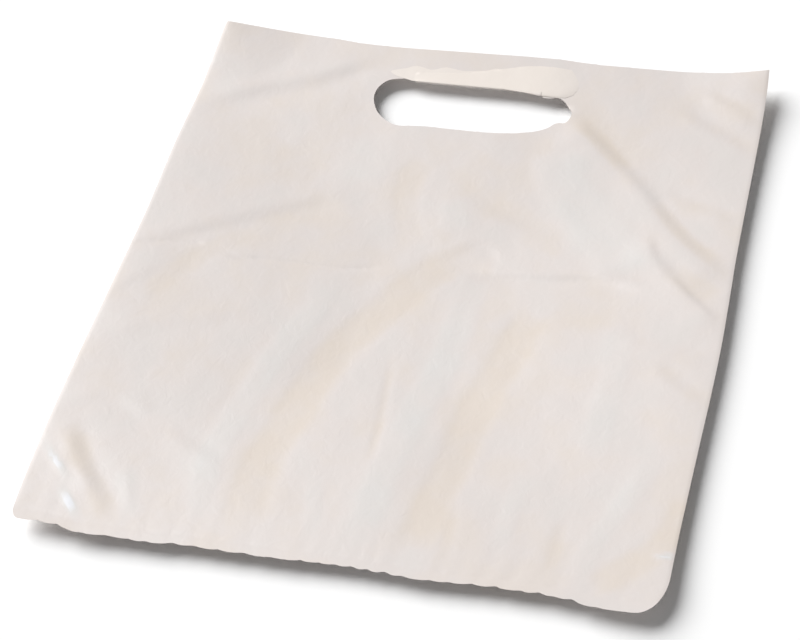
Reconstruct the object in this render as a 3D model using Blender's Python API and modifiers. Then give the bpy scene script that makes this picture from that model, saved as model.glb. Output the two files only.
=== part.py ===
"""Plastic carrier bag: one flattened tube of blown film, sealed across its bottom and lying on its back.

The two plies are one piece of film, folded round at both sides. They are welded together in a
narrow heat seal along the bottom, and open at the mouth. A hand hole is die-cut through both plies
below the mouth. What the die cut free still hangs on each ply by the hole's upper edge, and the two
flaps are folded up over it, one on the other. The bag was packed folded across its middle, so its
middle lies flat and its rims stand a little off the ground.

Metres, +X across the bag, +Y towards its mouth, +Z up. The origin is under the middle of the bag.
"""

import math

import bmesh
import bpy

# Driving dimensions
BAG_WIDTH = 0.300
BAG_LENGTH = 0.340
FILM = 0.00005
SEAL_WEB = 0.00009

# Heat seal, side folds and the space between the plies
SEAL_HEIGHT = 0.0065
SEAL_FLARE = 0.004
SIDE_FOLD = 0.00025
PLY_GAP = 0.0012
GAP_REACH = 0.030

# Hand hole, measured from the bottom edge, and the two flaps that were cut from it
HOLE_X = -0.002
HOLE_WIDTH = 0.106
HOLE_BOTTOM = 0.2815
HOLE_TOP = 0.311
HOLE_RADIUS = (HOLE_TOP - HOLE_BOTTOM) / 2
HINGE_HALF = HOLE_WIDTH / 2 - HOLE_RADIUS
FRONT_FLAP = 0.0200
FRONT_HINGE_RADIUS = 0.0005
BACK_FLAP = 0.0175
BACK_HINGE_RADIUS = 0.0015
HINGE_LINE = HOLE_TOP + BACK_HINGE_RADIUS + FILM
HINGE_TURNS = 4
FLAP_CELLS = 5

# Outline: the two bottom corners, and how far the mouth's edge draws in between its corners
CORNER_RIGHT = 0.017
CORNER_LEFT = 0.005
MOUTH_SAG = 0.0030

# How far the rims stand off the ground, how far in from each rim the rise begins, and how far the
# mouth's two corners curl up further
SIDE_RISE = 0.0066
SIDE_REACH = 0.125
MOUTH_RISE = 0.0085
MOUTH_REACH = 0.145
BOTTOM_RISE = 0.0075
BOTTOM_REACH = 0.120
MOUTH_CURL = 0.0035
MOUTH_CURL_REACH = 0.045
RISE_POWER = 1.3
RISE_BLEND = 2.5

# Long folds of the front ply: start, end, width to each side, and height (+) or depth (-)
FRONT_FOLDS = (
    ((0.020, 0.180), (-0.045, 0.030), 0.020, -0.0007),
    ((0.052, 0.165), (0.038, 0.030), 0.017, -0.0007),
    ((0.060, 0.280), (0.142, 0.196), 0.020, 0.0010),
    ((-0.145, 0.276), (-0.060, 0.320), 0.024, 0.0008),
)

# Grid cells: beside and along the hinge, up the seal web, from the seal to the hinge, and above it
SIDE_CELLS = 9
HINGE_CELLS = 6
WEB_CELLS = 3
BODY_CELLS = 23
STRIP_CELLS = 3

FILM_COLOUR = (0.779, 0.716, 0.685, 1.0)
FILM_ROUGHNESS = 0.38


def clear_scene():
    """Remove every object, so that the bag stands alone."""
    for old in list(bpy.data.objects):
        bpy.data.objects.remove(old, do_unlink=True)


def even(first, last, cells):
    """Return evenly spaced values from first to last, both included."""
    return [first + (last - first) * i / cells for i in range(cells + 1)]


def column_lines():
    """Return the x of each grid line, from the left fold to the right one."""
    half = BAG_WIDTH / 2
    left = even(-half + SIDE_FOLD, HOLE_X - HINGE_HALF, SIDE_CELLS)
    hinge = even(HOLE_X - HINGE_HALF, HOLE_X + HINGE_HALF, HINGE_CELLS)[1:-1]
    right = even(HOLE_X + HINGE_HALF, half - SIDE_FOLD, SIDE_CELLS)
    return [-half, *left, *hinge, *right, half]


def row_lines():
    """Return the y of each grid line, from the bottom edge to the mouth."""
    web = even(0.0, SEAL_HEIGHT, WEB_CELLS)
    body = even(CORNER_RIGHT, HINGE_LINE, BODY_CELLS)
    strip = even(HINGE_LINE, BAG_LENGTH, STRIP_CELLS)[1:]
    return [*web, SEAL_HEIGHT + SEAL_FLARE, *body, *strip]


def outline_point(x, y):
    """Move a point of the plain rectangle, to round the bottom corners and draw the mouth in."""
    half = BAG_WIDTH / 2
    radius = CORNER_RIGHT if x > 0 else CORNER_LEFT
    if y < radius:
        inset = radius - math.sqrt(radius**2 - (radius - y) ** 2)
        x *= 1 - inset / half
    nearness = max(0.0, (y - HINGE_LINE) / (BAG_LENGTH - HINGE_LINE))
    return x, y - MOUTH_SAG * nearness * (1 - (x / half) ** 4)


def rise(distance, reach, height):
    """Return a rim's height over the ground, at this distance in from the rim."""
    return height * max(0.0, 1 - distance / reach) ** RISE_POWER


def bed_height(x, y):
    """Return the back ply's height: flat on the ground in the middle, lifted towards each rim."""
    side = rise(BAG_WIDTH / 2 - abs(x), SIDE_REACH, SIDE_RISE)
    end = rise(BAG_LENGTH - y, MOUTH_REACH, MOUTH_RISE) + rise(y, BOTTOM_REACH, BOTTOM_RISE)
    corner = math.hypot(BAG_WIDTH / 2 - abs(x), BAG_LENGTH - y)
    curl = rise(corner, MOUTH_CURL_REACH, MOUTH_CURL)
    return (side**RISE_BLEND + end**RISE_BLEND) ** (1 / RISE_BLEND) + curl


def ply_gap(x, y):
    """Return the space between the plies: none in the seal, and closing round at the side folds."""
    above = (y - SEAL_HEIGHT) / GAP_REACH
    beside = (BAG_WIDTH / 2 - abs(x)) / GAP_REACH
    if above < 1e-6 or beside < 1e-6:
        return 0.0
    return PLY_GAP * min(1.0, above) ** 0.5 * min(1.0, beside) ** 0.25


def fold_relief(x, y):
    """Return how much the long folds raise or lower the front ply at this place."""
    total = 0.0
    for (x0, y0), (x1, y1), width, height in FRONT_FOLDS:
        dx, dy = x1 - x0, y1 - y0
        along = ((x - x0) * dx + (y - y0) * dy) / (dx * dx + dy * dy)
        across = abs((x - x0) * dy - (y - y0) * dx) / math.hypot(dx, dy)
        if 0 < along < 1 and across < width:
            crest = math.cos(math.pi / 2 * across / width) ** 2
            total += height * math.sin(math.pi * along) * crest
    return total


def front_height(x, y):
    """Return the front ply's height, which stays at least half the gap above the back ply."""
    gap = ply_gap(x, y)
    return bed_height(x, y) + max(gap + fold_relief(x, y) * gap / PLY_GAP, gap / 2)


def add_ply(bm, height):
    """Add one ply as a grid laid on its height function, and return its faces."""
    columns = column_lines()
    rows = row_lines()
    across = len(columns) - 1
    along = len(rows) - 1
    made = bmesh.ops.create_grid(bm, x_segments=across, y_segments=along, size=0.5)
    for vert in made["verts"]:
        column = columns[round((vert.co.x + 0.5) * across)]
        row = rows[round((vert.co.y + 0.5) * along)]
        x, y = outline_point(column, row)
        vert.co = (x, y, height(column, row))
    return list({face for vert in made["verts"] for face in vert.link_faces})


def free_flap(bm, faces):
    """Take out a ply's cells right below its hinge, and return the open edges of the hinge."""
    cell = (HINGE_LINE - CORNER_RIGHT) / BODY_CELLS
    gone = []
    for face in faces:
        centre = face.calc_center_median()
        if abs(centre.x - HOLE_X) < HINGE_HALF and HINGE_LINE - cell < centre.y < HINGE_LINE:
            gone.append(face)
    bmesh.ops.delete(bm, geom=gone, context="FACES")
    hinge = []
    for face in faces:
        if not face.is_valid:
            continue
        for edge in face.edges:
            middle = (edge.verts[0].co + edge.verts[1].co) / 2
            between = abs(middle.x - HOLE_X) < HINGE_HALF
            if edge.is_boundary and between and abs(middle.y - HINGE_LINE) < cell / 8:
                hinge.append(edge)
    return hinge


def flap_half_width(reach, height):
    """Return half a flap's width at this reach from its hinge: the hole's round ends, then its own."""
    if reach < HOLE_RADIUS:
        bow = math.sqrt(HOLE_RADIUS**2 - (HOLE_RADIUS - reach) ** 2)
    else:
        past = (reach - HOLE_RADIUS) / (height - HOLE_RADIUS)
        bow = HOLE_RADIUS * math.sqrt(max(0.0, 1 - past**3))
    return HINGE_HALF + bow


def extrude_row(bm, edges):
    """Extrude a row of edges in place, and return the new row's edges and points."""
    made = bmesh.ops.extrude_edge_only(bm, edges=edges)["geom"]
    verts = [item for item in made if isinstance(item, bmesh.types.BMVert)]
    lines = [item for item in made if isinstance(item, bmesh.types.BMEdge)]
    return [line for line in lines if all(vert in verts for vert in line.verts)], verts


def fold_flap(bm, edges, radius, height):
    """Turn a ply's hinge round its fold, and lay the flap over the strip above the hole."""
    for turn in range(HINGE_TURNS):
        before = math.pi * turn / HINGE_TURNS
        after = math.pi * (turn + 1) / HINGE_TURNS
        edges, verts = extrude_row(bm, edges)
        for vert in verts:
            vert.co.y += radius * (math.sin(before) - math.sin(after))
            vert.co.z += radius * (math.cos(before) - math.cos(after))
    reaches = [height * math.sin(math.pi / 2 * i / FLAP_CELLS) for i in range(FLAP_CELLS + 1)]
    for nearer, farther in zip(reaches, reaches[1:]):
        edges, verts = extrude_row(bm, edges)
        spread = flap_half_width(farther, height) / flap_half_width(nearer, height)
        for vert in verts:
            x, y = vert.co.x, vert.co.y
            vert.co.x = HOLE_X + (x - HOLE_X) * spread
            vert.co.y = y + farther - nearer
            vert.co.z += bed_height(vert.co.x, vert.co.y) - bed_height(x, y)


def make_film():
    """Make the bag's film as one surface: front ply, back ply, their seal web and their flaps."""
    bm = bmesh.new()
    front = add_ply(bm, front_height)
    back = add_ply(bm, bed_height)
    bmesh.ops.reverse_faces(bm, faces=back)
    web = [face for face in back if face.calc_center_median().y < SEAL_HEIGHT]
    bmesh.ops.delete(bm, geom=web, context="FACES")
    back = [face for face in back if face.is_valid]
    front_hinge = free_flap(bm, front)
    back_hinge = free_flap(bm, back)
    fold_flap(bm, front_hinge, FRONT_HINGE_RADIUS, FRONT_FLAP)
    fold_flap(bm, back_hinge, BACK_HINGE_RADIUS, BACK_FLAP)
    bmesh.ops.remove_doubles(bm, verts=bm.verts, dist=FILM / 4)
    mesh = bpy.data.meshes.new("film_bag")
    bm.to_mesh(mesh)
    bm.free()
    return mesh


def thicken(bag):
    """Give the film its thickness, with the fused seal web thicker than one ply."""
    gauge = bag.vertex_groups.new(name="gauge")
    for vert in bag.data.vertices:
        in_web = vert.co.y < SEAL_HEIGHT + FILM
        gauge.add([vert.index], 1.0 if in_web else FILM / SEAL_WEB, "REPLACE")
    solid = bag.modifiers.new("film gauge", "SOLIDIFY")
    solid.solidify_mode = "NON_MANIFOLD"
    solid.nonmanifold_thickness_mode = "FIXED"
    solid.nonmanifold_boundary_mode = "FLAT"
    solid.nonmanifold_merge_threshold = 0.000001
    solid.thickness = SEAL_WEB
    solid.vertex_group = gauge.name
    solid.offset = 0.0


def make_punch(collection):
    """Make the die that cuts the hand hole: a prism with round ends, taller than the bag."""
    bm = bmesh.new()
    bmesh.ops.create_cone(
        bm, cap_ends=True, segments=32, radius1=HOLE_RADIUS, radius2=HOLE_RADIUS, depth=0.06
    )
    for vert in bm.verts:
        if abs(vert.co.x) > FILM:
            vert.co.x += math.copysign(HINGE_HALF, vert.co.x)
    mesh = bpy.data.meshes.new("hand_hole_punch")
    bm.to_mesh(mesh)
    bm.free()
    punch = bpy.data.objects.new("hand_hole_punch", mesh)
    punch.location = (HOLE_X, (HOLE_TOP + HOLE_BOTTOM - BAG_LENGTH) / 2, 0.0)
    punch.hide_render = True
    punch.display_type = "WIRE"
    collection.objects.link(punch)
    return punch


def film_material():
    """Return the material of the bag: white polyethylene film with a warm tint."""
    material = bpy.data.materials.new("polyethylene_film")
    material.use_nodes = True
    shader = material.node_tree.nodes["Principled BSDF"]
    shader.inputs["Base Color"].default_value = FILM_COLOUR
    shader.inputs["Roughness"].default_value = FILM_ROUGHNESS
    shader.inputs["Metallic"].default_value = 0.0
    return material


def main():
    """Build the bag and the die that cuts it."""
    clear_scene()
    parts = bpy.data.collections.new("carrier_bag")
    cutters = bpy.data.collections.new("cutters")
    for collection in (parts, cutters):
        bpy.context.scene.collection.children.link(collection)
    bag = bpy.data.objects.new("film_bag", make_film())
    bag.location = (0.0, -BAG_LENGTH / 2, FILM / 2)
    bag.data.materials.append(film_material())
    parts.objects.link(bag)
    thicken(bag)
    cut = bag.modifiers.new("hand hole", "BOOLEAN")
    cut.operation = "DIFFERENCE"
    cut.solver = "EXACT"
    cut.object = make_punch(cutters)


main()
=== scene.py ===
"""White plastic carrier bag, lying on its back on a pale floor.

The bag is one flattened tube of blown polyethylene film. It is modelled ply by ply as a fine net of
film, given the folds, creases and gathers that such a bag keeps from its packing, welded along its
side folds and its heat seal, and then given the film's thickness.
"""

import logging
import math
import random
from collections.abc import Iterable, Sequence
from dataclasses import dataclass, field
from enum import Enum

import bmesh
import bpy
import numpy as np
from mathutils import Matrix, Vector, noise


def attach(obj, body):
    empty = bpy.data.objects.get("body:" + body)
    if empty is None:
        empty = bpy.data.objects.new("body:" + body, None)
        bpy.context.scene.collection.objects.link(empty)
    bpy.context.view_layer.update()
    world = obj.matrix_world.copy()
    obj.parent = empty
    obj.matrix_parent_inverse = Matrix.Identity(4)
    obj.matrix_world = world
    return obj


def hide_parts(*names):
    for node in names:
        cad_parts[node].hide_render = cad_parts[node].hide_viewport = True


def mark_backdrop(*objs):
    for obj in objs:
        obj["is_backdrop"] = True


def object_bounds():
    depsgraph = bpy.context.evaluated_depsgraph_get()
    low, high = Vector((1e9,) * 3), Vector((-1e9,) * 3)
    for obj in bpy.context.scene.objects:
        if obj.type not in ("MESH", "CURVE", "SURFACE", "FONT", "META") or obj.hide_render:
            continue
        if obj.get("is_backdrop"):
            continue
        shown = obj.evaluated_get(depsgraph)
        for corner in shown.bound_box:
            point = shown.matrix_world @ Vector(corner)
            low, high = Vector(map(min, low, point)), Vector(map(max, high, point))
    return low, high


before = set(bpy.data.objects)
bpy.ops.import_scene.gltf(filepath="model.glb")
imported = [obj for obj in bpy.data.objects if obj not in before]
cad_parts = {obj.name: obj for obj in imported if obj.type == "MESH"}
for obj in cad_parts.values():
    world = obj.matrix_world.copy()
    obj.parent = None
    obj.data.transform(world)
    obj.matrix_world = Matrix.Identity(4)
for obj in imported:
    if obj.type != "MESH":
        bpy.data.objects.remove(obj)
cad_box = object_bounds()

log = logging.getLogger("carrier_bag")

MM = 0.001
# Tolerances in millimetres: two places that count as one, points that are welded, the hinge's ends.
NEAR = 0.05
WELD = 0.01
SLACK = 0.5
# How steeply each kind of fold falls off beside its line, with distances in widths of the fold.
ROUND_FALL = 2.2
CREASE_FALL = 1.8
PLEAT_STEEP = 3.0
PLEAT_EASY = 0.22
LEDGE_POWER = 3
TROUGH_POWER = 6
TONE_POWER = 7
# Seeds, so that the film is crumpled the same way each time.
GATHER_SEED = 11
FRONT_SEED = 3
BACK_SEED = 40
Path = tuple[tuple[float, float], ...]


def linear(code: str) -> tuple[float, float, float, float]:
    """Turn an sRGB hex colour into linear red, green, blue and alpha.

    Args:
        code: Six hex digits, such as "E6DED9".

    Returns:
        The linear colour, with alpha 1.
    """
    parts = [int(code[i : i + 2], 16) / 255 for i in (0, 2, 4)]
    curved = [c / 12.92 if c <= 0.04045 else ((c + 0.055) / 1.055) ** 2.4 for c in parts]
    return (curved[0], curved[1], curved[2], 1.0)


def add_node(
    tree: bpy.types.NodeTree,
    kind: str,
    values: dict[str | int, object] | None = None,
    links: dict[str | int, bpy.types.NodeSocket] | None = None,
    **settings: object,
) -> bpy.types.Node:
    """Add a shader node with its settings, its own values and its incoming links.

    Args:
        tree: The node tree that the node goes in.
        kind: The node's type name, such as "ShaderNodeBump".
        values: What to set on its input sockets, by name or number.
        links: The sockets that feed its input sockets, by name or number.
        **settings: Properties of the node itself.

    Returns:
        The new node.
    """
    made = tree.nodes.new(kind)
    for name, value in settings.items():
        setattr(made, name, value)
    for key, value in (values or {}).items():
        made.inputs[key].default_value = value
    for key, socket in (links or {}).items():
        tree.links.new(socket, made.inputs[key])
    return made


def smooth_path(points: Path, steps: int = 6) -> np.ndarray:
    """Draw a smooth curve through a few points, as a Catmull-Rom spline.

    Args:
        points: The points, in millimetres.
        steps: How many pieces each span is cut into.

    Returns:
        The curve's points, one row each.
    """
    ends = [points[0], *points, points[-1]]
    made = []
    for i in range(1, len(ends) - 2):
        a, b, c, d = (np.array(p, float) for p in ends[i - 1 : i + 3])
        for step in range(steps):
            t = step / steps
            made.append(
                0.5 * (2 * b + (c - a) * t + (2 * a - 5 * b + 4 * c - d) * t**2
                       + (3 * b - 3 * c + d - a) * t**3)
            )
    made.append(np.array(points[-1], float))
    return np.array(made)


def drift(points: Path, places: np.ndarray) -> np.ndarray:
    """Read a smooth curve at many places.

    Args:
        points: A place and its value, in turn along the curve.
        places: Where to read it.

    Returns:
        The value at each place.
    """
    line = smooth_path(points)
    return np.interp(places, line[:, 0], line[:, 1])


class FoldShape(Enum):
    """How a fold in the film looks in cross-section."""

    ROUND = "a soft ridge or hollow"
    CREASE = "a pressed line with straight flanks"
    PLEAT = "a long rise on its right side, and a steep fall on its left"
    LEDGE = "high along its left side and low along its right"
    TROUGH = "a flat strip with soft shoulders"


@dataclass(frozen=True)
class Fold:
    """One fold of the film, in millimetres of the flat bag.

    Attributes:
        path: The line that the fold follows.
        width: How far it reaches to each side.
        height: How high it stands, or how deep where negative.
        tone: How closely the plies lie together in it, from 1, close, to -1, with air between them. Its
            colours are also painted shade, darker and tan along folds, and a painted cool reflection,
            bluish grey on facets.
            At -2 a bluish white glint is painted on the fold, a painted highlight.
        shape: Its cross-section.
        taper: The share of its length over which each end dies out.
    """

    path: Path
    width: float
    height: float
    tone: float = 0.0
    shape: FoldShape = FoldShape.ROUND
    taper: float = 0.25

    def measure(self, x: np.ndarray, y: np.ndarray) -> tuple[np.ndarray, np.ndarray]:
        """Find where each place lies beside the fold.

        Args:
            x: Places across the bag.
            y: Places along the bag.

        Returns:
            The signed distance, positive on the left, and the share of the fold's length.
        """
        line = smooth_path(self.path)
        spans = np.hypot(*np.diff(line, axis=0).T)
        before = np.concatenate([[0], np.cumsum(spans)])
        nearest = np.full(x.shape, 1e9)
        side = np.ones(x.shape)
        share = np.zeros(x.shape)
        for (x0, y0), (x1, y1), span, start in zip(line, line[1:], spans, before):
            dx, dy = (x1 - x0) / span, (y1 - y0) / span
            along = np.clip((x - x0) * dx + (y - y0) * dy, 0, span)
            away = np.hypot(x - x0 - along * dx, y - y0 - along * dy)
            closer = away < nearest
            nearest = np.where(closer, away, nearest)
            side = np.where(closer, np.sign((y - y0) * dx - (x - x0) * dy), side)
            share = np.where(closer, (start + along) / before[-1], share)
        return nearest * side, share

    def shape_film(self, x: np.ndarray, y: np.ndarray) -> tuple[np.ndarray, np.ndarray]:
        """Work out what the fold does to the film at each place.

        Args:
            x: Places across the bag.
            y: Places along the bag.

        Returns:
            The height that it adds, and the tone that it adds.
        """
        distance, share = self.measure(x, y)
        t = distance / self.width
        away = np.abs(t)
        if self.shape is FoldShape.ROUND:
            section = np.exp(-ROUND_FALL * t**2)
        elif self.shape is FoldShape.CREASE:
            section = np.exp(-CREASE_FALL * away)
        elif self.shape is FoldShape.PLEAT:
            section = np.where(
                t > 0, np.exp(-PLEAT_STEEP * t**2), np.exp(-PLEAT_EASY * away**1.5)
            )
        elif self.shape is FoldShape.LEDGE:
            section = t / (1 + away**LEDGE_POWER)
        else:
            section = 1 / (1 + away**TROUGH_POWER)
        fade = np.clip(np.minimum(share, 1 - share) / max(self.taper, 0.01), 0, 1)
        eased = fade * fade * (3 - 2 * fade)
        return self.height * section * eased, self.tone * eased / (1 + away**TONE_POWER)


@dataclass(frozen=True)
class PolyethyleneFilm:
    """White blown polyethylene film, lightly filled with chalk: satin, warm, a little see-through.

    Blowing leaves it with very fine streaks along the tube. Where the plies lie close together it looks
    creamier and tan, where flaps lie on it lighter, and bluish grey where air lies between them. The
    same tan also paints shade along folds, the bluish grey paints a cool reflection on facets, and a
    bluish white paints glints on sharp folds: painted shade, painted reflection and painted highlights.

    Attributes:
        tint: Its plain colour.
        cling_shade_tint: Its tan colour where the plies lie close, also used as painted shade along
            folds.
        airy_reflection_tint: Its bluish-grey colour where air lies between the plies, also used as a
            painted cool reflection on facets.
        painted_glint_tint: The bluish white of painted highlights, glints painted along sharp folds.
        stacked_tint: Its colour where a flap lies on it.
        painted_glint_tone: The tone at which the painted glint is at full strength.
        airy_reflection_place: Where the bluish-grey colour sits between the painted glint, 0, and the
            tan, 1.
        plain_place: Where the plain colour sits between them.
        unevenness: How far cloudy changes in thickness shift the tone.
        mottle_size: The size of those clouds.
        smoothest: Its roughness in the glossiest clouds.
        roughest: Its roughness in the dullest.
        streak_spacing: The spacing of the streaks that blowing leaves.
        streak_squeeze: How much longer they are than wide, as a share.
        streak_depth: How deep they are.
        crinkle_size: The size of the crinkles from handling.
        crinkle_depth: How deep those are.
    """

    tint: str = "DFD7D3"
    cling_shade_tint: str = "DED3C9"
    airy_reflection_tint: str = "DDD9D6"
    # Painted highlight: this bluish white paints glints on sharp folds at the lowest tone.
    painted_glint_tint: str = "E6E7EB"
    stacked_tint: str = "ECE3DB"
    painted_glint_tone: float = -2.0
    airy_reflection_place: float = 0.28
    plain_place: float = 0.66
    unevenness: float = 0.4
    mottle_size: float = 26 * MM
    smoothest: float = 0.37
    roughest: float = 0.48
    streak_spacing: float = 1.1 * MM
    streak_squeeze: float = 0.06
    streak_depth: float = 0.02 * MM
    crinkle_size: float = 6 * MM
    crinkle_depth: float = 0.10 * MM

    def material(self) -> bpy.types.Material:
        """Build the film's material.

        Returns:
            The material, which reads two attributes of the film's mesh: "stack", and the tone of the
            plies lying close, which also carries painted shade, painted reflection and painted glints.
        """
        made = bpy.data.materials.new("blown_polyethylene_film")
        made.use_nodes = True
        tree = made.node_tree
        tree.nodes.clear()
        where = add_node(tree, "ShaderNodeTexCoord").outputs["Object"]
        cling_and_shade = add_node(tree, "ShaderNodeAttribute", attribute_name="cling_and_shade").outputs["Fac"]
        stack = add_node(tree, "ShaderNodeAttribute", attribute_name="stack").outputs["Fac"]
        # Cloudy changes in thickness, a few centimetres across.
        cloud = add_node(
            tree, "ShaderNodeTexNoise",
            {"Scale": 1 / self.mottle_size, "Detail": 3.0}, {"Vector": where},
        )
        uneven = add_node(
            tree, "ShaderNodeMapRange",
            {"From Min": 0.35, "From Max": 0.65,
             "To Min": -self.unevenness, "To Max": self.unevenness},
            {"Value": cloud.outputs["Fac"]},
        )
        cling_shade_sum = add_node(
            tree, "ShaderNodeMath", None, {0: cling_and_shade, 1: uneven.outputs["Result"]}, operation="ADD"
        )
        warm = add_node(
            tree, "ShaderNodeMapRange",
            {"From Min": self.painted_glint_tone, "From Max": 1.0}, {"Value": cling_shade_sum.outputs[0]},
        )
        # Painted shade, reflection and highlight: besides showing where the plies lie close, this ramp
        # darkens the film to tan along folds, cools it to bluish grey on facets and whitens it into
        # glints.
        tones = add_node(tree, "ShaderNodeValToRGB", None, {"Fac": warm.outputs["Result"]})
        ramp = tones.color_ramp
        ramp.elements[0].color = linear(self.painted_glint_tint)
        ramp.elements[1].color = linear(self.cling_shade_tint)
        ramp.elements.new(self.airy_reflection_place).color = linear(self.airy_reflection_tint)
        ramp.elements.new(self.plain_place).color = linear(self.tint)
        # Sockets 6 and 7 are the two colours that a colour mix goes between.
        colour = add_node(
            tree, "ShaderNodeMix", {7: linear(self.stacked_tint)},
            {"Factor": stack, 6: tones.outputs["Color"]}, data_type="RGBA",
        )
        # The streaks run along the tube, so the pattern is stretched along Y.
        drawn = add_node(
            tree, "ShaderNodeMapping", {"Scale": (1.0, self.streak_squeeze, 1.0)}, {"Vector": where}
        )
        streak = add_node(
            tree, "ShaderNodeTexNoise", {"Scale": 1 / self.streak_spacing, "Detail": 2.0},
            {"Vector": drawn.outputs[0]},
        )
        bump = add_node(
            tree, "ShaderNodeBump", {"Strength": 0.25, "Distance": self.streak_depth},
            {"Height": streak.outputs["Fac"]},
        )
        # Crinkles from handling: too fine for the mesh, and only just seen where light grazes the film.
        crinkle = add_node(
            tree, "ShaderNodeTexNoise",
            {"Scale": 1 / self.crinkle_size, "Detail": 3.0, "Roughness": 0.55, "Distortion": 0.8},
            {"Vector": where},
        )
        bump = add_node(
            tree, "ShaderNodeBump", {"Strength": 1.0, "Distance": self.crinkle_depth},
            {"Height": crinkle.outputs["Fac"], "Normal": bump.outputs["Normal"]},
        )
        gloss = add_node(
            tree, "ShaderNodeMapRange",
            {"From Min": 0.3, "From Max": 0.7, "To Min": self.smoothest, "To Max": self.roughest},
            {"Value": cloud.outputs["Fac"]},
        )
        shader = add_node(
            tree, "ShaderNodeBsdfPrincipled", {"IOR": 1.51},
            {"Base Color": colour.outputs[2], "Roughness": gloss.outputs["Result"],
             "Normal": bump.outputs["Normal"]},
        )
        add_node(tree, "ShaderNodeOutputMaterial", None, {"Surface": shader.outputs[0]})
        return made


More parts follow.
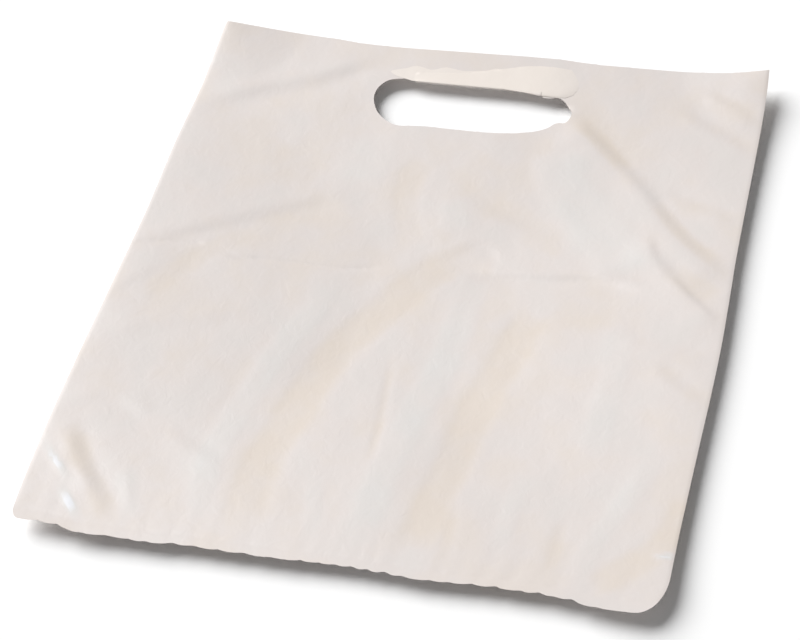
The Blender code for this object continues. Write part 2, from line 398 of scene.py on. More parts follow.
@dataclass(frozen=True)
class Flap:
    """A flap that the die leaves hanging on the hole's upper edge, folded up over the front.

    Attributes:
        left: Its left edge, from the hinge to its free end.
        right: Its right edge, from the hinge to its free end.
        end: Its free end, from left to right.
        radius: How tightly it turns at the hinge.
        clearance: How far above the front ply it comes to lie.
        stack: How much of its lighter look it has.
        lift: How far its right end springs up.
        dip: How far its fold hangs into the hole at its right end.
        turns: How many rows of film go round the fold.
        rows: How many rows lie flat after it.
        dip_reach: How far from its right end the dip reaches.
        settle_reach: How far from the hinge it takes to come down onto the ply.
        end_power: How close to its two ends it already lies down at the hinge.
        pinch: The share of the clearance that its right end gives up.
        pinch_power: How close to that end it does.
        lift_power: How close to its right end it springs up.
        ripple: The height of its own waves.
        ripple_size: Their size across the bag and along it.
        worn_from: The x from which its lighter look fades.
        worn_over: How far on half of it is gone.
    """

    left: Path
    right: Path
    end: Path
    radius: float
    clearance: float
    stack: float
    lift: float = 0.2
    dip: float = 0.0
    turns: int = 6
    rows: int = 10
    dip_reach: float = 7.0
    settle_reach: float = 5.0
    end_power: int = 10
    pinch: float = 0.65
    pinch_power: int = 14
    lift_power: int = 8
    ripple: float = 0.12
    ripple_size: tuple[float, float] = (9.0, 13.0)
    worn_from: float = 20.0
    worn_over: float = 32.0

    def extrude(self, bm: bmesh.types.BMesh, bag: "CarrierBag") -> list[list[bmesh.types.BMVert]]:
        """Extrude the film from the hinge, row by row.

        Args:
            bm: The ply, with its cells below the hinge gone.
            bag: The bag, which says where the hinge is.

        Returns:
            The rows of points, each from left to right, with the hinge's own points first.
        """
        line = bag.hinge - bag.length / 2
        first, last = bag.hinge_left - SLACK, bag.hinge_right + SLACK
        edges = [
            edge for edge in bm.edges
            if edge.is_boundary and all(
                abs(v.co.y / MM - line) < NEAR and first < v.co.x / MM < last for v in edge.verts
            )
        ]
        made = [sorted({v for edge in edges for v in edge.verts}, key=lambda v: v.co.x)]
        for _ in range(self.turns + self.rows):
            before = made[-1]
            geom = bmesh.ops.extrude_edge_only(bm, edges=edges)["geom"]
            new = {g for g in geom if isinstance(g, bmesh.types.BMVert)}
            edges = [
                g for g in geom
                if isinstance(g, bmesh.types.BMEdge) and all(v in new for v in g.verts)
            ]
            made.append([
                next(e.other_vert(vert) for e in vert.link_edges if e.other_vert(vert) in new)
                for vert in before
            ])
        return made

    def spread(self, share: np.ndarray, out: float) -> tuple[np.ndarray, np.ndarray]:
        """Find where a row of the flap lies in plan, as a Coons patch between its four edges.

        Args:
            share: How far along the hinge each point is, from 0 at the left to 1 at the right.
            out: How far the row is from the hinge, from 0 to 1 at the free end.

        Returns:
            The row's x and y.
        """
        sides = []
        for path in (self.left, self.right):
            line = smooth_path(path)
            at = np.linspace(0, 1, len(line))
            sides.append(np.array([np.interp(out, at, line[:, 0]), np.interp(out, at, line[:, 1])]))
        line = smooth_path(self.end)
        at = np.linspace(0, 1, len(line))
        end = np.stack([np.interp(share, at, line[:, 0]), np.interp(share, at, line[:, 1])])
        start = np.stack([np.interp(share, [0, 1], [self.left[0][0], self.right[0][0]]),
                          np.full(share.shape, self.left[0][1])])
        across = sides[0][:, None] * (1 - share) + sides[1][:, None] * share
        corners = ((1 - out) * (np.array(self.left[0])[:, None] * (1 - share)
                                + np.array(self.right[0])[:, None] * share)
                   + out * (np.array(self.end[0])[:, None] * (1 - share)
                            + np.array(self.end[-1])[:, None] * share))
        row = start * (1 - out) + end * out + across - corners
        return row[0], row[1]

    def fold_up(self, bm: bmesh.types.BMesh, bag: "CarrierBag") -> None:
        """Turn the film round its fold, and lay the flap over the strip above the hole.

        Args:
            bm: The ply, with its cells below the hinge gone.
            bag: The bag that the flap lies on.
        """
        rows = self.extrude(bm, bag)
        stack = bm.verts.layers.float["stack"]
        hinge = rows[0]
        share = np.linspace(0, 1, len(hinge))
        foot = np.array([v.co.z / MM for v in hinge])
        top = foot + 2 * self.radius
        for step, row in enumerate(rows[1:], 1):
            angle = math.pi * min(step / self.turns, 1)
            out = max(0, step - self.turns) / self.rows
            x, y = self.spread(share, out)
            if step <= self.turns:
                hang = self.radius + self.dip * np.exp(-(((x - x.max()) / self.dip_reach) ** 2))
                y = y - hang * math.sin(angle)
                z = foot + self.radius * (1 - math.cos(angle))
            else:
                _, under, _ = bag.heights(x, y)
                middle = 1 - share**self.end_power - (1 - share) ** self.end_power
                settle = np.exp(-np.maximum(y - bag.hinge, 0) / self.settle_reach) * middle
                clear = self.clearance * (1 - self.pinch * share**self.pinch_power)
                ledge = bag.heights(x, np.full(x.shape, bag.hinge))[1]
                z = under + clear + settle * (top - ledge - clear)
                wide, long = self.ripple_size
                waves = [noise.noise(Vector((px / wide, py / long, self.radius)))
                         for px, py in zip(x, y)]
                z = z + self.ripple * np.array(waves) * out
            swing = math.sin(math.pi * min(1, step / (self.turns + self.rows)))
            z = z + self.lift * share**self.lift_power * swing
            for vert, px, py, pz in zip(row, x, y, z):
                vert.co = Vector((px, py - bag.length / 2, pz)) * MM
                worn = 1 - 0.5 * max(0, (px - self.worn_from) / self.worn_over) ** 2
                vert[stack] = self.stack * worn * min(1, step / self.turns)


@dataclass
class CarrierBag:
    """The bag: two plies, their side folds, the heat seal, the hand hole and its two flaps.

    Lengths are in millimetres of the flat bag, with x from its middle line and y from its bottom edge.

    Attributes:
        width: The bag's width, from the frame.
        length: The bag's length, from the frame.
        gauge: The film's thickness.
        seal: The height of the heat seal.
        columns: How many cells the net has across the bag.
        rim_cell: The width of the net's outermost cells, which turn round the side folds.
        ply_gap: The space between the plies in the middle of the bag.
        gap_reach: How far in from the seal and the side folds the plies take to reach it.
        least_gap: The least space between them, wherever the gap itself isn't less.
        hinge: The y of the hole's upper edge, where the flaps turn up.
        hinge_left: Where the flaps' hinge begins.
        hinge_right: Where it ends.
        corner_right: How wide and how tall the rounding of the lower right corner is.
        corner_left: The same of the lower left corner.
        side_rise: How high the side folds stand off the ground.
        side_reach: How far in from them the film begins to rise.
        mouth_rise: How high the mouth stands off the ground.
        mouth_reach: How far in from the mouth the film begins to rise.
        bottom_rise: How high the bottom edge stands off the ground.
        bottom_reach: How far in from the bottom edge the film begins to rise.
        curl: How much higher the mouth's corners are.
        curl_reach: How far round each corner that reaches.
        rise_power: How strongly the rise steepens towards a rim.
        rim_blend: How sharply two rising rims meet at a corner.
        gather_depth: How deep the deepest gathers over the seal are.
        gather_draw: How far the deepest of them draws the bottom edge up.
        gather_foot: The y above which gathers die out.
        seal_groove: How deep the groove along the seal's upper edge is.
        crumple_height: How high the broad unevenness of the film is.
        crumple_size: How large it is.
        crinkle_height: How high the finer unevenness is.
        crinkle_size: How large it is, across the bag and along it.
        left_side: How far the left side fold is off its straight line, by y.
        right_side: The same of the right side fold.
        mouth: How far the mouth's edge is off its straight line, by x.
        bottom: The same of the bottom edge.
        hole: The die's outline, from the hinge's right end round to its left end.
        film: What the bag is made of.
    """

    width: float = float(round((cad_box[1][0] - cad_box[0][0]) / MM))
    length: float = float(round((cad_box[1][1] - cad_box[0][1]) / MM))
    gauge: float = 0.05
    seal: float = 5.5
    columns: int = 176
    rim_cell: float = 0.25
    ply_gap: float = 0.8
    gap_reach: float = 40.0
    least_gap: float = 0.15
    hinge: float = 312.5
    hinge_left: float = -36.0
    hinge_right: float = 33.0
    corner_right: tuple[float, float] = (13.0, 20.0)
    corner_left: tuple[float, float] = (4.0, 6.0)
    side_rise: float = 6.6
    side_reach: float = 125.0
    mouth_rise: float = 8.5
    mouth_reach: float = 145.0
    bottom_rise: float = 7.5
    bottom_reach: float = 120.0
    curl: float = 3.5
    curl_reach: float = 45.0
    rise_power: float = 1.3
    rim_blend: float = 2.5
    gather_depth: float = 0.13
    gather_draw: float = 1.25
    gather_foot: float = 4.0
    seal_groove: float = 0.10
    crumple_height: float = 0.24
    crumple_size: float = 34.0
    crinkle_height: float = 0.06
    crinkle_size: tuple[float, float] = (11.0, 16.0)
    left_side: Path = (
        (0, -0.3), (20, -2.3), (57, -4.1), (95, -4.4), (134, -3.9), (176, -3.3),
        (200, -3.1), (250, -4.2), (289, -3.1), (311, -3.1), (336, -2.6), (340, -2.0),
    )
    right_side: Path = (
        (0, -0.5), (38, -0.5), (65, 0), (94, 0.7), (123, 1.5),
        (153, 1.9), (185, 1.4), (218, 0.8), (309, 0.9), (340, -0.1),
    )
    mouth: Path = (
        (-155, 0.4), (-133, 0.2), (-110, -0.4), (-86, -1.8), (-74, -3.3),
        (-51, -3.8), (-28, -3.5), (11, -2.7), (38, -2.5), (60, -4.1),
        (93, -4.3), (125, -4.6), (137, -3.8), (145, -2.6), (155, -0.8),
    )
    bottom: Path = (
        (-155, -0.8), (-133, -0.6), (-120, -2.8), (-104, -2.0), (-86, -2.0), (-68, -0.6), (-30, -0.1),
        (7, 1.2), (44, 0.3), (79, 2.0), (114, 1.5), (132, -0.8), (155, -0.8),
    )
    hole: Path = (
        (33, 312.5), (34, 309.6), (38, 309.1), (42, 310), (46, 308.3), (49, 304.5), (51.6, 301),
        (51.8, 298), (50.6, 294), (49, 292.4), (46, 292.4), (43.5, 290.8), (41, 288), (36, 285.3),
        (30, 283.4), (22, 281.8), (10, 280.8), (0, 280.8), (-22, 281), (-30, 280.6), (-38, 279.9),
        (-43, 281.3), (-48, 284.5), (-52, 288.6), (-54.5, 293), (-56, 297), (-56.5, 301), (-56, 305),
        (-54, 309), (-51, 312), (-46, 313.8), (-42, 314.8), (-39.5, 316.3), (-37.5, 315), (-36, 312.5),
    )
    film: PolyethyleneFilm = field(default_factory=PolyethyleneFilm)

    def front_folds(self) -> tuple[Fold, ...]:
        """Return the folds of the front ply, from the mouth down."""
        crease, pleat = FoldShape.CREASE, FoldShape.PLEAT
        ledge, trough = FoldShape.LEDGE, FoldShape.TROUGH
        return (
            # From the hole's right end down to the right side fold, with a raised facet beside it
            Fold(((48, 298), (70, 278), (85, 262), (100, 245), (115, 226), (130, 210), (150, 195)),
                 6.5, 1.0, 0, pleat, 0.12),
            # Painted shade: these two troughs paint the pleat's dark band darker along its fold.
            Fold(((50, 299), (64, 288), (78, 273), (92, 258)), 4.5, -0.1, 0.9, trough, 0.3),
            Fold(((100, 249), (117, 228), (130, 214), (148, 200)), 4, -0.2, 0.9, trough, 0.3),
            Fold(((50, 274), (58, 250), (74, 230), (90, 210), (99, 190)), 14, 0.3, -0.6, trough, 0.1),
            Fold(((103, 222), (110, 206), (119, 195), (131, 181), (150, 163)), 4, 0.7, 0.1, pleat, 0.2),
            Fold(((114, 204), (130, 191), (149, 180)), 6, -0.15, 0.5, trough),
            Fold(((60, 312), (70, 290), (86, 270)), 6, -0.1, 0.4, trough),
            # Broad patches where the plies lie close, painted tan, in part as painted shade
            Fold(((-98, 194), (-42, 198)), 15, -0.1, 0.35, trough, 0.4),
            Fold(((-8, 268), (16, 246), (14, 214)), 12, -0.1, 0.3, trough, 0.4),
            Fold(((58, 172), (122, 168)), 13, -0.1, 0.3, trough, 0.4),
            Fold(((-60, 262), (-110, 232)), 14, -0.1, 0.3, trough, 0.4),
            # Left shoulder
            Fold(((-152, 277), (-131, 288), (-115, 296), (-98, 303), (-80, 313), (-56, 328)),
                 7, 0.85, -0.1, ledge),
            Fold(((-116, 279), (-90, 286), (-58, 292)), 8, 0.15, 0.2, trough),
            Fold(((-50, 274), (-45, 256), (-48, 234)), 11, 0.12, -0.6, trough),
            Fold(((-13, 264), (-22, 246), (-21, 230), (-16, 212), (-9, 196)), 7, -0.15, 0.5, trough),
            Fold(((3, 236), (10, 210)), 7, 0.1, -0.4, trough),
            Fold(((3, 246), (20, 234), (40, 225), (72, 214)), 7, -0.3, 0.3, taper=0.4),
            # Left middle
            Fold(((-152, 178), (-125, 189), (-104, 201), (-82, 213), (-62, 222), (-44, 211)),
                 5.5, 0.50, 0.1, ledge),
            Fold(((-86, 198), (-98, 190), (-110, 178), (-122, 162), (-135, 138)), 6, -0.1, 0.5, trough),
            # Packing crease across the middle
            Fold(((-152, 175), (-135, 179), (-114, 182)), 2.0, -0.45, 0, crease, 0.1),
            Fold(((-108, 181), (-96, 176), (-85, 177), (-70, 178), (-40, 179), (-15, 185)),
                 2.0, -0.50, 0, crease),
            Fold(((18, 186), (60, 187), (82, 189), (112, 184)), 4.2, 0.85, 0.1, ledge),
            # Hook in the middle, the two long strips below it where the plies lie close, and the air
            # beside them; their tan and bluish grey are partly painted shade and painted reflection
            Fold(((0, 190), (12, 199), (22, 205), (31, 202), (38, 191)), 3.5, 0.27, 0.2, ledge),
            Fold(((16, 198), (2, 180), (-8, 165), (-15, 152), (-24, 137), (-32, 120), (-37, 100),
                  (-41, 80), (-44, 60), (-46, 40), (-42, 10)), 10, -0.20, 0.9, trough, 0.1),
            Fold(((62, 168), (56, 150), (53, 132), (48, 115), (45, 98), (43, 80), (41, 60),
                  (39, 45), (35, 12)), 9, -0.20, 0.9, trough, 0.1),
            Fold(((-46, 178), (-48, 150), (-55, 130), (-60, 110), (-65, 85), (-68, 65), (-70, 45),
                  (-61, 8)), 6.5, 0.12, -0.8, trough, 0.2),
            Fold(((24, 186), (25, 160), (24, 140), (22, 118), (17, 95), (14, 75), (12, 52), (10, 6)),
                 8, 0.12, -0.8, trough, 0.2),
            Fold(((-3, 130), (0, 105), (2, 88), (4, 58)), 2, -0.12, 0.5, trough),
            Fold(((106, 178), (103, 150), (104, 128), (104, 110), (103, 60)),
                 6.5, 0.1, -0.5, trough, 0.35),
            Fold(((76, 70), (74, 45), (73, 16)), 4, 0.08, -0.5, trough, 0.35),
            Fold(((-21, 56), (-14, 30), (-11, 8)), 4, 0.08, -0.5, trough, 0.35),
            Fold(((98, 50), (98, 8)), 3, -0.1, 0.4, trough, 0.35),
            Fold(((49, 46), (50, 8)), 2.5, -0.1, 0.4, trough, 0.35),
            # Short folds running in from the right side
            Fold(((106, 309), (125, 297), (150, 282)), 4, -0.60, 0.3, ledge),
            Fold(((118, 324), (150, 303)), 4, -0.50, 0.2, ledge),
            Fold(((106, 249), (130, 241), (150, 234)), 3.5, -0.60, 0.2, ledge),
            Fold(((100, 154), (150, 145)), 4, -0.40, 0, ledge),
            Fold(((120, 138), (150, 117)), 3.5, -0.4, 0.2, ledge),
            Fold(((78, 117), (110, 114), (140, 111)), 5, 0.25, 0, ledge),
            Fold(((135, 90), (125, 62), (116, 38), (107, 8)), 5, 0.15, -0.6, trough, 0.3),
            Fold(((151, 66), (147, 42), (135, 26), (116, 6)), 7, -0.15, 0.8, trough, 0.15),
            # Painted highlight: a small glint painted on this short crease.
            Fold(((140, 29.5), (145, 30.5), (151, 32)), 1.4, 0.5, -2.4, crease, 0.4),
            # Lower left corner
            Fold(((-151, 66), (-136, 74), (-122, 76), (-102, 66)), 4, 0.35, -0.2, ledge),
            # Painted shade: this ledge's tone paints a darker olive band along its fold.
            Fold(((-144, 60), (-135, 50), (-127, 38), (-115, 23), (-101, 4)),
                 5, -0.75, 0.6, ledge, 0.25),
            Fold(((-110, 42), (-101, 24), (-92, 4)), 5, 0.2, -0.5, taper=0.35),
            # Painted highlights: these two ridges get glints painted in bluish white.
            Fold(((-150, 47), (-141, 37), (-135, 31), (-128, 23)), 1.8, 0.45, -1.9, taper=0.5),
            Fold(((-134, 23), (-127, 15), (-116, 4)), 2.4, 0.55, -2.0, taper=0.5),
            Fold(((-152, 139), (-143, 149), (-131, 161)), 3, 0.3, 0, ledge),
            Fold(((-150, 112), (-120, 124), (-76, 141)), 5, 0.22, 0, ledge),
            Fold(((-95, 63), (-62, 49)), 3.5, -0.3, 0.1, ledge),
        )

    def back_folds(self) -> tuple[Fold, ...]:
        """Return the folds of the back ply, which the ground has mostly pressed flat."""
        crease = FoldShape.CREASE
        return (
            Fold(((-152, 178), (-60, 180), (40, 177), (152, 180)), 3, 0.3, 0, crease, 0.1),
            Fold(((-60, 281), (-100, 240), (-150, 190)), 7, 0.3),
            Fold(((55, 290), (100, 250), (150, 222)), 7, 0.3),
            Fold(((-40, 150), (-70, 90), (-75, 10)), 9, 0.25),
            Fold(((60, 140), (75, 80), (70, 8)), 9, 0.25),
        )

    def rise(self, distance: np.ndarray, reach: float, height: float) -> np.ndarray:
        """Return a rim's height over the ground at this distance in from the rim."""
        return height * np.maximum(0, 1 - distance / reach) ** self.rise_power

    def bed(self, x: np.ndarray, y: np.ndarray) -> np.ndarray:
        """Return the plain height of the back ply: flat in the middle, lifted towards each rim.

        Args:
            x: Places across the bag.
            y: Places along the bag.

        Returns:
            The height at each place.
        """
        side = self.rise(self.width / 2 - np.abs(x), self.side_reach, self.side_rise)
        end = self.rise(self.length - y, self.mouth_reach, self.mouth_rise)
        end = end + self.rise(y, self.bottom_reach, self.bottom_rise)
        corner = np.hypot(self.width / 2 - np.abs(x), self.length - y)
        rims = (side**self.rim_blend + end**self.rim_blend) ** (1 / self.rim_blend)
        return rims + self.rise(corner, self.curl_reach, self.curl)

    def gathers(self, x: np.ndarray, y: np.ndarray) -> tuple[np.ndarray, np.ndarray]:
        """Work out the small gathers that the shrinking seal pulls into the film above it.

        Args:
            x: Places across the bag.
            y: Places along the bag.

        Returns:
            The gathers' height, and how far each draws the bottom edge up.
        """
        chance = random.Random(GATHER_SEED)
        height = np.zeros(x.shape)
        draw = np.zeros(x.shape)
        place = -self.width / 2 + 9
        while place < self.width / 2 - 12:
            deep = chance.uniform(0.3, 1.0)
            wide = chance.uniform(2.4, 4.0)
            long = chance.uniform(14, 34)
            lean = chance.uniform(-0.10, 0.10)
            across = (x - place - lean * y) / wide
            fade = np.exp(-((np.maximum(y - self.gather_foot, 0) / long) ** 1.5))
            height -= self.gather_depth * deep * np.exp(-(across**2)) * fade
            draw += self.gather_draw * deep * np.exp(-(((x - place) / (0.75 * wide)) ** 2))
            place += chance.uniform(7, 14)
        height -= self.seal_groove * np.exp(-((y - self.seal) ** 2))
        return height, draw

    def crumple(self, x: np.ndarray, y: np.ndarray, seed: float) -> np.ndarray:
        """Work out the faint unevenness of handled film, at two sizes.

        Args:
            x: Places across the bag.
            y: Places along the bag.
            seed: Which of many such patterns the ply has.

        Returns:
            The height that it adds at each place.
        """
        size = self.crumple_size
        wide, long = self.crinkle_size
        values = np.empty(x.shape)
        for i, (px, py) in enumerate(zip(x.flat, y.flat)):
            broad = noise.noise(Vector((px / size, py / size, seed)))
            fine = noise.noise(Vector((px / wide, py / long, seed + 9)))
            values.flat[i] = self.crumple_height * broad + self.crinkle_height * fine
        return values

    def gap(self, x: np.ndarray, y: np.ndarray) -> np.ndarray:
        """Work out the plain space between the plies: none in the seal, closing round at the sides.

        Args:
            x: Places across the bag.
            y: Places along the bag.

        Returns:
            The space at each place, pressed thinner in the strip that holds the hinge.
        """
        above = np.clip((y - self.seal) / self.gap_reach, 0, 1)
        beside = np.clip((self.width / 2 - np.abs(x)) / self.gap_reach, 0, 1)
        near_hole = np.exp(-(((y - self.hinge) / 14) ** 2)) * np.exp(-((x / 62) ** 8))
        plain = self.ply_gap * (1 - (1 - above) ** 2) * np.sqrt(1 - (1 - beside) ** 3)
        return plain * (1 - 0.6 * near_hole)

    def heights(self, x: np.ndarray, y: np.ndarray) -> tuple[np.ndarray, np.ndarray, np.ndarray]:
        """Work out where both plies lie.

        Args:
            x: Places across the bag.
            y: Places along the bag.

        Returns:
            The heights of the back ply and of the front ply, and their tone, which also carries painted
            shade, painted reflection and painted glints.
        """
        gathered, _ = self.gathers(x, y)
        gap = self.gap(x, y)
        loose = gap / self.ply_gap
        back_relief = sum(fold.shape_film(x, y)[0] for fold in self.back_folds())
        back_relief = back_relief + 0.5 * np.abs(self.crumple(x, y, BACK_SEED))
        middle = self.bed(x, y) + gathered + self.ply_gap / 2
        back = np.maximum(middle - gap / 2 + back_relief * loose, self.gauge / 2)
        front_relief = self.crumple(x, y, FRONT_SEED)
        cling_and_shade = np.zeros(x.shape)
        for fold in self.front_folds():
            height, tone = fold.shape_film(x, y)
            front_relief = front_relief + height
            cling_and_shade = cling_and_shade + tone
        least = np.minimum(gap, self.least_gap)
        front = np.maximum(middle + gap / 2 + front_relief * loose, back + least)
        return back, front, np.clip(cling_and_shade, -2.4, 1)

    def outline(self, x: np.ndarray, y: np.ndarray) -> tuple[np.ndarray, np.ndarray]:
        """Move the plain rectangle's points so that its rim is cut and drawn as the real bag's.

        Args:
            x: Places across the plain rectangle.
            y: Places along it.

        Returns:
            The places on the bag.
        """
        half = self.width / 2
        wide, tall = (np.where(x > 0, *pair) for pair in zip(self.corner_right, self.corner_left))
        below = np.clip(1 - y / tall, 0, 1)
        inset = wide * (1 - np.sqrt(np.maximum(1 - below**2, 0)))
        moved_x = x * (1 - inset / half)
        moved_x = moved_x + np.clip(-x / half, 0, 1) ** 3 * drift(self.left_side, y)
        moved_x = moved_x + np.clip(x / half, 0, 1) ** 3 * drift(self.right_side, y)
        _, draw = self.gathers(x, y)
        low = np.clip(1 - y / 30, 0, 1) ** 2
        moved_y = y + low * drift(self.bottom, x) + draw * np.clip(1 - y / 12, 0, 1) ** 2
        near = np.clip((y - self.hinge) / (self.length - self.hinge), 0, 1)
        return moved_x, moved_y + near * drift(self.mouth, x)

    def rows(self) -> list[float]:
        """Choose the net's lines across: close together at the seal and at the packing crease.

        Returns:
            The y of each line, from the bottom edge up.
        """
        web = [0, 0.4, 1.1, 2.1, 3.2, 4.3]
        zones = ((self.seal, 8, 3), (8, 34, 14), (34, 170, 43), (170, 192, 19),
                 (192, self.hinge, 40), (self.hinge, self.length, 13))
        made = [
            start + (end - start) * i / count for start, end, count in zones for i in range(count)
        ]
        return [*web, *made, self.length]

    def lines(self) -> list[float]:
        """Choose the net's lines along the bag: one near each side fold, one at each hinge end.

        Returns:
            The x of each line, from the left.
        """
        half = self.width / 2 - self.rim_cell
        cells = self.columns - 2
        beside = round(cells * (self.hinge_left + half) / (2 * half))
        along = round(cells * (self.hinge_right - self.hinge_left) / (2 * half))
        return [
            -self.width / 2, *np.linspace(-half, self.hinge_left, beside + 1)[:-1],
            *np.linspace(self.hinge_left, self.hinge_right, along + 1)[:-1],
            *np.linspace(self.hinge_right, half, cells - beside - along + 1), self.width / 2,
        ]

    def cut_hole(self, x: np.ndarray, y: np.ndarray, faces: np.ndarray) -> np.ndarray:
        """Find the net's cells that the hole takes out, and bring its rim onto the die's outline.

        Args:
            x: The x of the net's points, changed in place.
            y: The y of the net's points, changed in place.
            faces: The cells, as four point numbers each.

        Returns:
            True for each cell that goes.
        """
        edge = smooth_path(self.hole, 4)
        ends = np.roll(edge, -1, axis=0)
        cx, cy = x[faces].mean(1), y[faces].mean(1)
        gone = np.zeros(len(faces), bool)
        for (x0, y0), (x1, y1) in zip(edge, ends):
            if y0 != y1:
                crosses = (y0 > cy) != (y1 > cy)
                gone ^= crosses & (cx < x0 + (cy - y0) * (x1 - x0) / (y1 - y0))
        gone &= (cy < self.hinge) | (cx < self.hinge_left) | (cx > self.hinge_right)
        rim = np.intersect1d(faces[gone], faces[~gone])
        hinged = (np.abs(y[rim] - self.hinge) < NEAR) & (x[rim] > self.hinge_left - NEAR)
        hinged &= x[rim] < self.hinge_right + NEAR
        length = np.maximum(((ends - edge) ** 2).sum(1), 1e-9)
        for i in rim[~hinged]:
            point = np.array([x[i], y[i]])
            along = np.clip(((point - edge) * (ends - edge)).sum(1) / length, 0, 1)
            nearest = edge + along[:, None] * (ends - edge)
            x[i], y[i] = nearest[np.argmin(((nearest - point) ** 2).sum(1))]
        return gone

    def make_ply(self, name: str, front: bool) -> bpy.types.Object:
        """Make one ply as a net of film, with the hole cut and its flap turned up.

        Args:
            name: The new object's name.
            front: True for the front ply, which faces up.

        Returns:
            The ply, still without thickness.
        """
        lines, rows = np.array(self.lines()), np.array(self.rows())
        across, along = len(lines) - 1, len(rows) - 1
        bpy.ops.mesh.primitive_grid_add(x_subdivisions=across, y_subdivisions=along, size=1.0)
        ply = bpy.context.object
        ply.name = name
        mesh = ply.data
        flat = np.empty(len(mesh.vertices) * 3)
        mesh.vertices.foreach_get("co", flat)
        flat = flat.reshape(-1, 3)
        x = lines[np.rint((flat[:, 0] + 0.5) * across).astype(int)]
        y = rows[np.rint((flat[:, 1] + 0.5) * along).astype(int)]
        faces = np.empty(len(mesh.polygons) * 4, int)
        mesh.polygons.foreach_get("vertices", faces)
        faces = faces.reshape(-1, 4)
        gone = self.cut_hole(x, y, faces)
        if not front:
            gone |= y[faces].max(1) < self.seal + NEAR
        back_z, front_z, cling_and_shade = self.heights(x, y)
        z = front_z if front else back_z
        bag_x, bag_y = self.outline(x, y)
        place = np.stack([bag_x, bag_y - self.length / 2, z], 1) * MM
        mesh.vertices.foreach_set("co", place.ravel())
        # This tone carries painted shade, painted reflection and painted glints as well as how closely
        # the plies lie.
        mesh.attributes.new("cling_and_shade", "FLOAT", "POINT").data.foreach_set("value", cling_and_shade)
        mesh.attributes.new("stack", "FLOAT", "POINT").data.foreach_set("value", np.zeros(len(x)))
        bm = bmesh.new()
        bm.from_mesh(mesh)
        bm.faces.ensure_lookup_table()
        bmesh.ops.delete(bm, geom=[bm.faces[i] for i in np.flatnonzero(gone)], context="FACES")
        if not front:
            bmesh.ops.reverse_faces(bm, faces=bm.faces)
        (self.front_flap() if front else self.back_flap()).fold_up(bm, self)
        bm.to_mesh(mesh)
        bm.free()
        return ply

    def front_flap(self) -> Flap:
        """Return the front ply's flap, which keeps the die's shape."""
        top, left, right = self.hinge, self.hinge_left, self.hinge_right
        return Flap(
            left=((left, top), (-42, 313.8), (-49, 316), (-53.5, 320), (-54.5, 325.5),
                  (-51, 330.5), (-44, 333)),
            right=((right, top), (36, 313.8), (40, 316), (43, 320), (43, 325), (40, 328), (36, 329)),
            end=((-44, 333), (-24, 333.3), (4, 332), (36, 329)),
            radius=0.2, clearance=0.1, stack=0.8,
        )

    def back_flap(self) -> Flap:
        """Return the back ply's flap, which lies skewed on the front ply's."""
        top, left, right = self.hinge, self.hinge_left, self.hinge_right
        return Flap(
            left=((left, top), (-37.5, 314.5), (-38, 317), (-37, 319)),
            right=((right, top), (34.6, 310.2), (39, 310), (46, 310.4), (51.3, 315), (51.5, 324),
                   (47, 330.5)),
            end=((-37, 319), (-12, 321.5), (7, 326.5), (22, 330.4), (34, 331.4), (47, 330.5)),
            radius=0.6, clearance=0.26, stack=1.0, lift=0.05, dip=1.9,
        )

    def build(self) -> bpy.types.Object:
        """Make both plies, weld them and give the film its thickness.

        Returns:
            The finished bag.
        """
        bpy.ops.object.select_all(action="DESELECT")
        front = self.make_ply("carrier_bag_film", True)
        back = self.make_ply("back_ply", False)
        bpy.ops.object.select_all(action="DESELECT")
        back.select_set(True)
        front.select_set(True)
        bpy.context.view_layer.objects.active = front
        bpy.ops.object.join()
        bm = bmesh.new()
        bm.from_mesh(front.data)
        bmesh.ops.remove_doubles(bm, verts=bm.verts, dist=WELD * MM)
        bm.to_mesh(front.data)
        bm.free()
        solid = front.modifiers.new("film gauge", "SOLIDIFY")
        solid.solidify_mode = "NON_MANIFOLD"
        solid.nonmanifold_thickness_mode = "FIXED"
        solid.nonmanifold_boundary_mode = "FLAT"
        solid.nonmanifold_merge_threshold = 1e-6
        solid.thickness = self.gauge * MM
        solid.offset = 0.0
        bpy.ops.object.modifier_apply(modifier=solid.name)
        bpy.ops.object.shade_smooth_by_angle(angle=math.radians(40))
        front.data.materials.clear()
        front.data.materials.append(self.film.material())
        return front


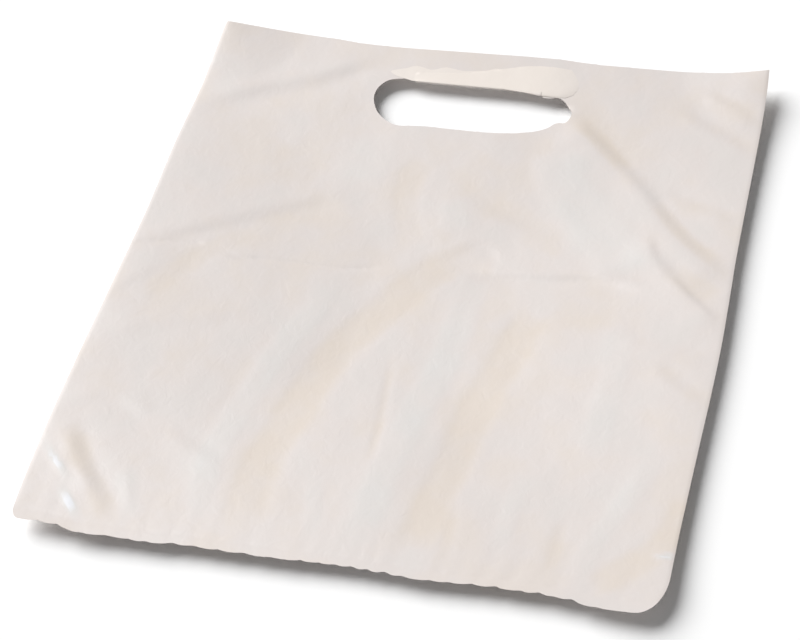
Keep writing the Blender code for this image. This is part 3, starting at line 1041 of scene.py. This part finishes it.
@dataclass(frozen=True)
class Studio:
    """The floor, the light and the camera, in metres and degrees.

    Attributes:
        floor_size: The side of the square floor.
        floor_tint: Its colour.
        camera_place: Where the camera is.
        camera_turn: How it is turned about x, y and z.
        lens: Its focal length, in millimetres.
        sensor: The width of its sensor, in millimetres.
        key_from: The direction that the softbox shines from.
        key_distance: How far off it hangs.
        key_size: Its diameter.
        key_power: Its power, in watts.
        world_strength: How bright the sky is.
    """

    floor_size: float = 10.0
    floor_tint: str = "FFFFFF"
    camera_place: tuple[float, float, float] = (0.2313, -0.6219, 0.7305)
    camera_turn: tuple[float, float, float] = (41.165, 6.248, 14.302)
    lens: float = 89.64
    sensor: float = 36.0
    key_from: tuple[float, float, float] = (-0.90, 0.35, 0.93)
    key_distance: float = 12.0
    key_size: float = 10.8
    key_power: float = 2075.0
    world_strength: float = 0.20

    def floor(self) -> bpy.types.Object:
        """Lay a plain pale floor under the bag.

        Returns:
            The floor, which isn't part of the model.
        """
        bpy.ops.mesh.primitive_plane_add(size=self.floor_size)
        made = bpy.context.object
        made.name = "studio_floor"
        paint = bpy.data.materials.new("matt_white_paint")
        paint.use_nodes = True
        shader = paint.node_tree.nodes["Principled BSDF"]
        shader.inputs["Base Color"].default_value = linear(self.floor_tint)
        shader.inputs["Roughness"].default_value = 0.9
        shader.inputs["Specular IOR Level"].default_value = 0.1
        made.data.materials.append(paint)
        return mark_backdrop(made)

    def lights(self) -> None:
        """Hang one large, round softbox at the upper left, under an even white sky."""
        data = bpy.data.lights.new("key_softbox", "AREA")
        data.shape = "DISK"
        data.size = self.key_size
        data.energy = self.key_power
        lamp = bpy.data.objects.new("key_softbox", data)
        way = Vector(self.key_from).normalized()
        lamp.location = way * self.key_distance
        lamp.rotation_euler = way.to_track_quat("Z", "Y").to_euler()
        bpy.context.scene.collection.objects.link(lamp)
        world = bpy.data.worlds.new("studio")
        world.use_nodes = True
        air = world.node_tree.nodes["Background"]
        air.inputs["Color"].default_value = (1.0, 1.0, 1.0, 1.0)
        air.inputs["Strength"].default_value = self.world_strength
        bpy.context.scene.world = world

    def camera(self) -> None:
        """Place the camera in front of the bag and above it."""
        data = bpy.data.cameras.new("camera")
        data.lens = self.lens
        data.sensor_width = self.sensor
        held = bpy.data.objects.new("camera", data)
        held.location = self.camera_place
        held.rotation_euler = [math.radians(turn) for turn in self.camera_turn]
        bpy.context.scene.collection.objects.link(held)
        bpy.context.scene.camera = held

    def build(self) -> None:
        """Set the stage."""
        self.floor()
        self.lights()
        self.camera()
        view = bpy.context.scene.view_settings
        view.view_transform = "Standard"
        view.look = "None"


def main() -> None:
    """Build the stage and the bag, and tie the bag to the frame."""
    logging.basicConfig(level=logging.INFO, format="%(message)s")
    Studio().build()
    maker = CarrierBag()
    bag = maker.build()
    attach(bag, "root")
    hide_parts("film_bag")
    log.info("%s: %d faces", bag.name, len(bag.data.polygons))


if __name__ == "__main__":
    main()
